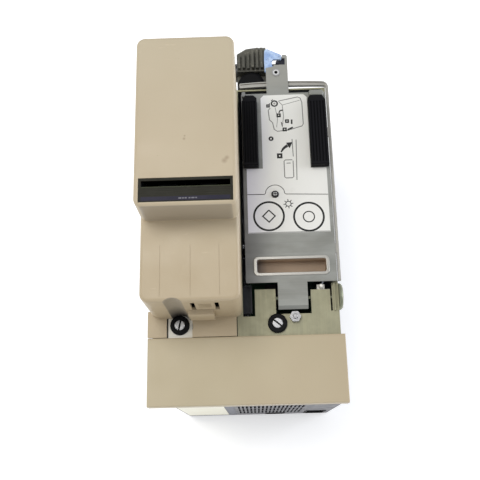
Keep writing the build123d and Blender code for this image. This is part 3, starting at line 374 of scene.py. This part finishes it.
# painted shadow darkening the left end of the recess floor
base = m.mix(m.fac(m.axis(0), (95.0 - OX) / 1000, (104.0 - OX) / 1000, 0.75, 0.0), base, srgb(78, 72, 72))
rim = m.fac(m.axis(2), (5.9 + OZ) / 1000, (6.3 + OZ) / 1000)
m.color(m.mix(rim, base, srgb(176, 174, 168)))
m.link(m.fac(rim, 0, 1, 0.0, 0.7), m.b.inputs["Metallic"])
m.link(m.fac(rim, 0, 1, 0.55, 0.32), m.b.inputs["Roughness"])
m.bump(m.noise(600, 2), 0.12, 0.03)
M["brown"] = m
M["bronze"] = steel("sintered_bronze", srgb(176, 134, 84), 0.42, "x", 0.05)
M["can"] = steel("motor_can", srgb(92, 92, 94), 0.40, "x", 0.10, metallic=0.8)
M["window"] = plastic("entry_window", (0.022, 0.021, 0.014), 0.42, 0.15, 0.06, spec=0.12)
M["chip"] = plastic("chip_epoxy", (0.015, 0.015, 0.016), 0.5, 0.2, 0.2)
M["ink"] = plastic("label_ink", (0.004, 0.004, 0.0045), 0.6, 0.2, 0.05)
M["ink_grey"] = plastic("label_ink_grey", srgb(112, 112, 110), 0.5, 0.05, 0.05)

m = Mat("status_bar", rough=0.40)
m.b.inputs["Specular IOR Level"].default_value = 0.10
m.color(m.ramp(m.noise(60, 3), [(0.3, (0.020, 0.019, 0.034)), (0.7, (0.030, 0.028, 0.046))]))
m.bump(m.noise(900, 2), 0.08, 0.03)
M["status"] = m

m = Mat("printed_label", rough=0.36, coat=0.15, coat_rough=0.2)
base = m.ramp(m.noise(10, 3), [(0.3, srgb(222, 222, 218)), (0.7, srgb(234, 234, 230))])
base = m.mix(m.fac(m.noise(90, 4, 0.7), 0.62, 0.80, 0.0, 0.25), base, srgb(196, 194, 186))
# painted shadow: lilac-grey towards the label's left edge
base = m.mix(m.fac(m.axis(0), (88.0 - OX) / 1000, (112.0 - OX) / 1000, 0.55, 0.0), base, srgb(208, 208, 232))
m.color(base)
m.bump(m.noise(40, 2), 0.06, 0.15)
M["label"] = m

m = Mat("end_label_print", rough=0.40)
base = m.ramp(m.noise(10, 3), [(0.3, srgb(232, 228, 206)), (0.7, srgb(242, 239, 222))])
base = m.mix(m.fac(m.axis(0), (62.9 - OX) / 1000, (63.1 - OX) / 1000), base, srgb(30, 38, 66))
lines = m.math("MULTIPLY", m.fac(m.axis(2), (-27.0 + OZ) / 1000, (-26.8 + OZ) / 1000), m.fac(m.axis(2), (-26.2 + OZ) / 1000, (-26.0 + OZ) / 1000, 1.0, 0.0))
base = m.mix(m.math("MULTIPLY", lines, 0.7), base, srgb(90, 88, 80))
m.color(base)
m.bump(m.noise(40, 2), 0.06, 0.15)
M["end_label"] = m

m = Mat("grey_casting", rough=0.55, metallic=0.2)
base = m.ramp(m.noise(40, 4), [(0.3, srgb(62, 62, 56)), (0.7, srgb(104, 102, 92))])
base = m.mix(m.fac(m.noise(160, 3, 0.7), 0.58, 0.72, 0.0, 0.4), base, srgb(158, 156, 140))
m.color(base)
m.bump(m.noise(420, 4, 0.6), 0.5, 0.18)
M["casting"] = m

# solder mask green darkened towards black as painted shade, for the boards seen through the openings
m = Mat("solder_mask_and_shade", rough=0.30, coat=0.3)
tracks = m.node("ShaderNodeTexBrick")
m.link(m.scaled((260, 260, 260)), tracks.inputs["Vector"])
tracks.inputs["Color1"].default_value = (0.004, 0.024, 0.011, 1)
tracks.inputs["Color2"].default_value = (0.006, 0.032, 0.015, 1)
tracks.inputs["Mortar"].default_value = (0.016, 0.060, 0.026, 1)
tracks.inputs["Mortar Size"].default_value = 0.06
m.color(tracks.outputs["Color"])
m.bump(tracks.outputs["Fac"], 0.2, 0.04)
M["board"] = m

m = Mat("clear_glass", rough=0.04, ior=1.5, transmission=0.9)
m.color(m.ramp(m.noise(30, 2), [(0.3, (0.80, 0.86, 0.88)), (0.7, (0.86, 0.90, 0.92))]))
M["glass"] = m

ASSIGN = {
    "head_cover": "beige_cover", "release_tab": "beige_cover", "front_panel": "beige_panel", "front_plate": "zinc_plate",
    "hinge_blocks": "zinc", "hinge_pin": "zinc", "latch_bracket": "latch", "chassis_tub": "tub", "mid_plate": "zinc_painted_shade", "head_frame": "tub",
    "service_lid": "lid", "lid_frame": "rail", "finger_recess": "brown", "lid_label": "label", "end_label": "end_label",
    "lid_screw": "screw", "hook_rivet": "rivet", "stud_left": "stud", "stud_right": "stud", "hex_nut": "bright",
    "housing_screws": "bright", "board_standoffs": "bright", "magnetic_heads": "shaft", "entry_drive_shaft": "shaft",
    "rear_drive_shaft": "shaft", "shutter_plunger": "shaft", "motor_pinion": "shaft", "shaft_bushes": "bronze",
    "fastener_rings": "black", "grip_left": "grip", "grip_right": "grip", "gearbox_cap": "black", "sensor_bars": "black",
    "encoder_disc": "black", "encoder_sensor": "black", "io_connectors": "black", "entry_shutter": "black",
    "guide_lower": "guide", "guide_upper": "guide", "sensor_windows": "glass", "entry_tyres": "tyre", "rear_tyres": "tyre",
    "link_pulley": "acetal", "output_gear": "acetal", "pinch_roller_front": "acetal", "pinch_roller_rear": "acetal",
    "path_belt": "rubber", "link_belt": "rubber", "shutter_solenoid": "can", "drive_motor": "can",
    "head_board": "board", "main_board": "board", "head_board_parts": "chip", "main_board_parts": "chip",
    "lid_peg": "nylon", "latch_hook": "blue", "gearbox_housing": "casting", "gearbox_cover": "casting",
    "entry_window": "window", "light_bar": "status",
}
for n, o in nodes.items():
    mat = M[ASSIGN[n]].m
    if not o.material_slots:
        o.data.materials.append(mat)
    for s in o.material_slots:
        s.material = mat


# ------------------------------------------------------------------ mesh helpers (working mm in, metres out)
def obj_from(bm, name, body, mat, smooth=None):
    bmesh.ops.recalc_face_normals(bm, faces=bm.faces)
    me = bpy.data.meshes.new(name)
    bm.to_mesh(me)
    bm.free()
    o = bpy.data.objects.new(name, me)
    bpy.context.scene.collection.objects.link(o)
    me.materials.append(mat.m)
    if smooth is not None:
        for p in me.polygons:
            p.use_smooth = True
        me.set_sharp_from_angle(angle=math.radians(smooth))
    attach(o, body)
    return o


def prism(bm, pts, z0, z1):
    """Closed prism over a polygon in the XY plane."""
    lo = [bm.verts.new(W(x, y, z0)) for x, y in pts]
    hi = [bm.verts.new(W(x, y, z1)) for x, y in pts]
    n = len(pts)
    bm.faces.new(lo[::-1])
    bm.faces.new(hi)
    for i in range(n):
        bm.faces.new((lo[i], lo[(i + 1) % n], hi[(i + 1) % n], hi[i]))


def ring(bm, cx, cy, r0, r1, z0, z1, n=48):
    """Closed flat ring."""
    vs = []
    for i in range(n):
        a = 2 * math.pi * i / n
        c, s = math.cos(a), math.sin(a)
        vs.append([bm.verts.new(W(cx + r * c, cy + r * s, z)) for r, z in ((r0, z0), (r1, z0), (r1, z1), (r0, z1))])
    for i in range(n):
        a, b = vs[i], vs[(i + 1) % n]
        for k in range(4):
            bm.faces.new((a[k], a[(k + 1) % 4], b[(k + 1) % 4], b[k]))


def stroke(bm, pts, w, z0, z1, taper=None):
    """A flat line of width w through points; taper gives each point its own width."""
    n = len(pts)
    ws = taper or [w] * n
    left, right = [], []
    for i, (x, y) in enumerate(pts):
        x0, y0 = pts[max(0, i - 1)]
        x1, y1 = pts[min(n - 1, i + 1)]
        dx, dy = x1 - x0, y1 - y0
        d = math.hypot(dx, dy) or 1.0
        nx, ny = -dy / d, dx / d
        k = 1.0
        if 0 < i < n - 1:
            ax, ay = pts[i][0] - x0, pts[i][1] - y0
            bx, by = x1 - pts[i][0], y1 - pts[i][1]
            la, lb = math.hypot(ax, ay) or 1, math.hypot(bx, by) or 1
            cosang = max(-0.9, min(1.0, (ax * bx + ay * by) / (la * lb)))
            k = min(2.0, 1 / math.sqrt((1 + cosang) / 2))
        h = ws[i] / 2 * k
        left.append((x + nx * h, y + ny * h))
        right.append((x - nx * h, y - ny * h))
    prism(bm, left + right[::-1], z0, z1)


def arc(cx, cy, r, a0, a1, n=16):
    return [(cx + r * math.cos(math.radians(a0 + (a1 - a0) * i / n)), cy + r * math.sin(math.radians(a0 + (a1 - a0) * i / n))) for i in range(n + 1)]


# ------------------------------------------------------------------ label print: plain pictograms, no lettering
Z0, Z1 = 6.451, 6.50
Z2, Z3 = 6.454, 6.503
ink, grey, blank = bmesh.new(), bmesh.new(), bmesh.new()


def square(bm, cx, cy, s, z0=Z0, z1=Z1):
    prism(bm, [(cx - s / 2, cy - s / 2), (cx + s / 2, cy - s / 2), (cx + s / 2, cy + s / 2), (cx - s / 2, cy + s / 2)], z0, z1)


# two plain rings, a hollow square and a disc inside them
for cx, cy, r in ((106.9, 162.3, 14.1), (142.2, 160.8, 14.0)):
    ring(ink, cx, cy, r - 1.75, r, Z0, Z1, 64)
stroke(ink, [(106.9, 167.9), (101.4, 162.3), (106.9, 156.7), (112.4, 162.3), (106.9, 167.9)], 1.1, Z2, Z3)
ring(ink, 142.2, 160.8, 4.4, 5.4, Z2, Z3, 40)
# small sun
ring(ink, 124.6, 173.4, 2.0, 2.7, Z0, Z1, 24)
for k in range(8):
    a = math.pi * k / 4 + 0.1
    stroke(ink, [(124.6 + 2.6 * math.cos(a), 173.4 + 2.6 * math.sin(a)), (124.6 + 4.4 * math.cos(a), 173.4 + 4.4 * math.sin(a))], 0.7, Z0, Z1)
# dividing line that passes round the screw
stroke(ink, [(88.3, 183.2), (103.6, 183.0), (104.6, 184.2)] + arc(113.1, 182.9, 8.8, 168, 12, 20)[1:-1] + [(121.6, 183.9), (122.8, 182.8), (160.3, 181.4)], 0.6, Z0, Z1)
stroke(grey, [(88.7, 147.0), (160.1, 147.0)], 0.5, Z0, Z1)
# plain dot
ring(ink, 111.4, 237.4, 0.8, 2.3, Z0, Z1, 24)
# upper drawing: the unit as an outline with four blank tags
stroke(grey, [(119.9, 275.7), (137.6, 279.3), (140.0, 278.1), (141.4, 273.5), (141.7, 251.5), (140.4, 249.3), (127.4, 245.4),
              (117.5, 244.7), (114.7, 246.7), (113.4, 253.8), (110.7, 256.4), (109.8, 266.3), (111.7, 268.5)], 0.75, Z0, Z1)
stroke(grey, [(119.7, 275.4), (123.0, 271.4), (123.8, 260.3), (122.7, 251.6)], 0.55, Z0, Z1)
stroke(grey, [(123.0, 271.4), (139.4, 275.8)], 0.45, Z0, Z1)
stroke(grey, [(116.4, 269.0), (118.2, 257.6), (117.0, 248.6)], 0.45, Z0, Z1)
ring(ink, 115.8, 273.2, 2.0, 3.4, Z0, Z1, 32)
ring(ink, 115.8, 273.2, 0.4, 0.9, Z0, Z1, 16)
stroke(ink, [(111.4, 273.6), (110.4, 270.4)], 0.9, Z0, Z1)
stroke(ink, [(112.8, 276.2), (114.6, 277.2)], 0.8, Z0, Z1)
for cx, cy, s in ((109.8, 270.9, 3.3), (119.3, 260.9, 4.0), (126.8, 254.7, 3.7), (124.3, 246.3, 3.9), (118.7, 220.0, 5.0)):
    square(ink, cx, cy, s)
    square(blank, cx, cy, s * 0.26, Z2, Z3)
stroke(ink, [(119.7, 263.4), (120.7, 265.6), (123.5, 266.2)], 1.2, Z0, Z1)
stroke(ink, [(131.2, 256.2), (131.0, 251.6)], 1.5, Z0, Z1)
stroke(ink, [(127.1, 245.9), (131.9, 248.3)], 1.5, Z0, Z1)
stroke(ink, [(121.6, 253.8), (122.4, 249.2)], 0.9, Z0, Z1)
# lower drawing: a lever with a curved arrow
stroke(ink, [(120.1, 223.6), (121.9, 226.6), (124.0, 228.7), (126.3, 230.0)], 2.2, Z0, Z1, taper=[1.2, 2.0, 2.5, 2.9])
prism(ink, [(125.0, 232.9), (131.0, 233.4), (128.0, 227.2)], Z2, Z3)
for path in ([(134.3, 235.7), (133.3, 196.0)], [(130.6, 236.4), (131.0, 219.0)],
             [(130.0, 215.8), (123.6, 215.8), (122.4, 214.6), (122.4, 199.4), (123.6, 198.2), (129.4, 198.2), (130.6, 199.4), (130.6, 215.0)],
             [(124.6, 212.6), (128.4, 212.6)]):
    stroke(grey, path, 0.75, Z0, Z1)
obj_from(blank, "label_print_white", "lid", M["label"])
obj_from(ink, "label_print_black", "lid", M["ink"])
obj_from(grey, "label_print_grey", "lid", M["ink_grey"])

# generic dashes on the status bar and fine ribs across the entry strip
bm = bmesh.new()
for i, w in enumerate((2.2, 1.2, 1.6)):
    x = 37.4 + [0, 2.8, 4.6][i]
    prism(bm, [(x, 143.5), (x + w, 143.5), (x + w, 144.5), (x, 144.5)], 106.70, 106.74)
for i, w in enumerate((1.4, 2.4, 1.2)):
    x = 45.0 + [0, 2.0, 5.0][i]
    prism(bm, [(x, 143.5), (x + w, 143.5), (x + w, 144.5), (x, 144.5)], 106.70, 106.74)
M["mark"] = plastic("status_mark", srgb(104, 103, 112), 0.5, 0.05, 0.05)
obj_from(bm, "status_marks", "cover", M["mark"])

bm = bmesh.new()
for y in (147.0, 148.8, 150.6, 152.2, 159.5):
    prism(bm, [(8.0, y - 0.22), (77.2, y - 0.22), (77.2, y + 0.22), (8.0, y + 0.22)], 106.49, 106.68)
obj_from(bm, "entry_strip_ribs", "cover", M["window"])
bm = bmesh.new()
prism(bm, [(9.4, 153.15), (75.8, 153.15), (75.8, 153.48), (9.4, 153.48)], 106.49, 106.74)
# painted highlight: a lighter olive strip along the slot's lower lip
M["lip"] = plastic("slot_lip_highlight", srgb(70, 74, 52), 0.4, 0.1, 0.05, spec=0.2)
obj_from(bm, "slot_lip_highlight", "cover", M["lip"])

# ------------------------------------------------------------------ floor, light
bm = bmesh.new()
s = 3.0
vs = [bm.verts.new(Vector((x, y, -0.0004))) for x, y in ((-s, -s), (s, -s), (s, s), (-s, s))]
bm.faces.new(vs)
me = bpy.data.meshes.new("floor")
bm.to_mesh(me)
bm.free()
floor = bpy.data.objects.new("floor", me)
bpy.context.scene.collection.objects.link(floor)
fm = Mat("pale_floor", rough=0.9)
fm.color(fm.ramp(fm.noise(2, 2), [(0.3, (0.90, 0.90, 0.90)), (0.7, (0.92, 0.92, 0.92))]))
fm.b.inputs["Emission Color"].default_value = (1.0, 1.0, 1.0, 1.0)
fm.b.inputs["Emission Strength"].default_value = 0.37
me.materials.append(fm.m)

bpy.context.scene.view_settings.view_transform = "Standard"
world = bpy.data.worlds.new("studio")
bpy.context.scene.world = world
world.use_nodes = True
world.node_tree.nodes["Background"].inputs[0].default_value = (0.95, 0.97, 1.0, 1)
world.node_tree.nodes["Background"].inputs[1].default_value = 0.465


def area(name, loc, target, size, power, color=(1, 1, 1)):
    d = bpy.data.lights.new(name, "AREA")
    d.shape = "RECTANGLE"
    d.size, d.size_y = size
    d.energy = power
    d.color = color
    o = bpy.data.objects.new(name, d)
    bpy.context.scene.collection.objects.link(o)
    o.location = loc
    o.rotation_euler = (Vector(target) - Vector(loc)).to_track_quat("-Z", "Y").to_euler()
    return o


area("key", (-0.48, 0.36, 1.75), (0, 0, 0.2), (0.85, 0.85), 13.0, (1.0, 0.985, 0.95))
area("side", (1.1, 0.1, 0.42), (0.05, 0, 0.2), (0.5, 1.0), 7.45, (0.90, 0.92, 1.0))
area("left", (-1.2, 0.1, 0.75), (-0.05, 0, 0.15), (0.8, 1.1), 2.98, (1.0, 0.99, 0.97))
area("low", (-0.1, -1.3, 0.95), (0, 0, 0.2), (1.2, 0.6), 3.35, (1.0, 0.99, 0.97))
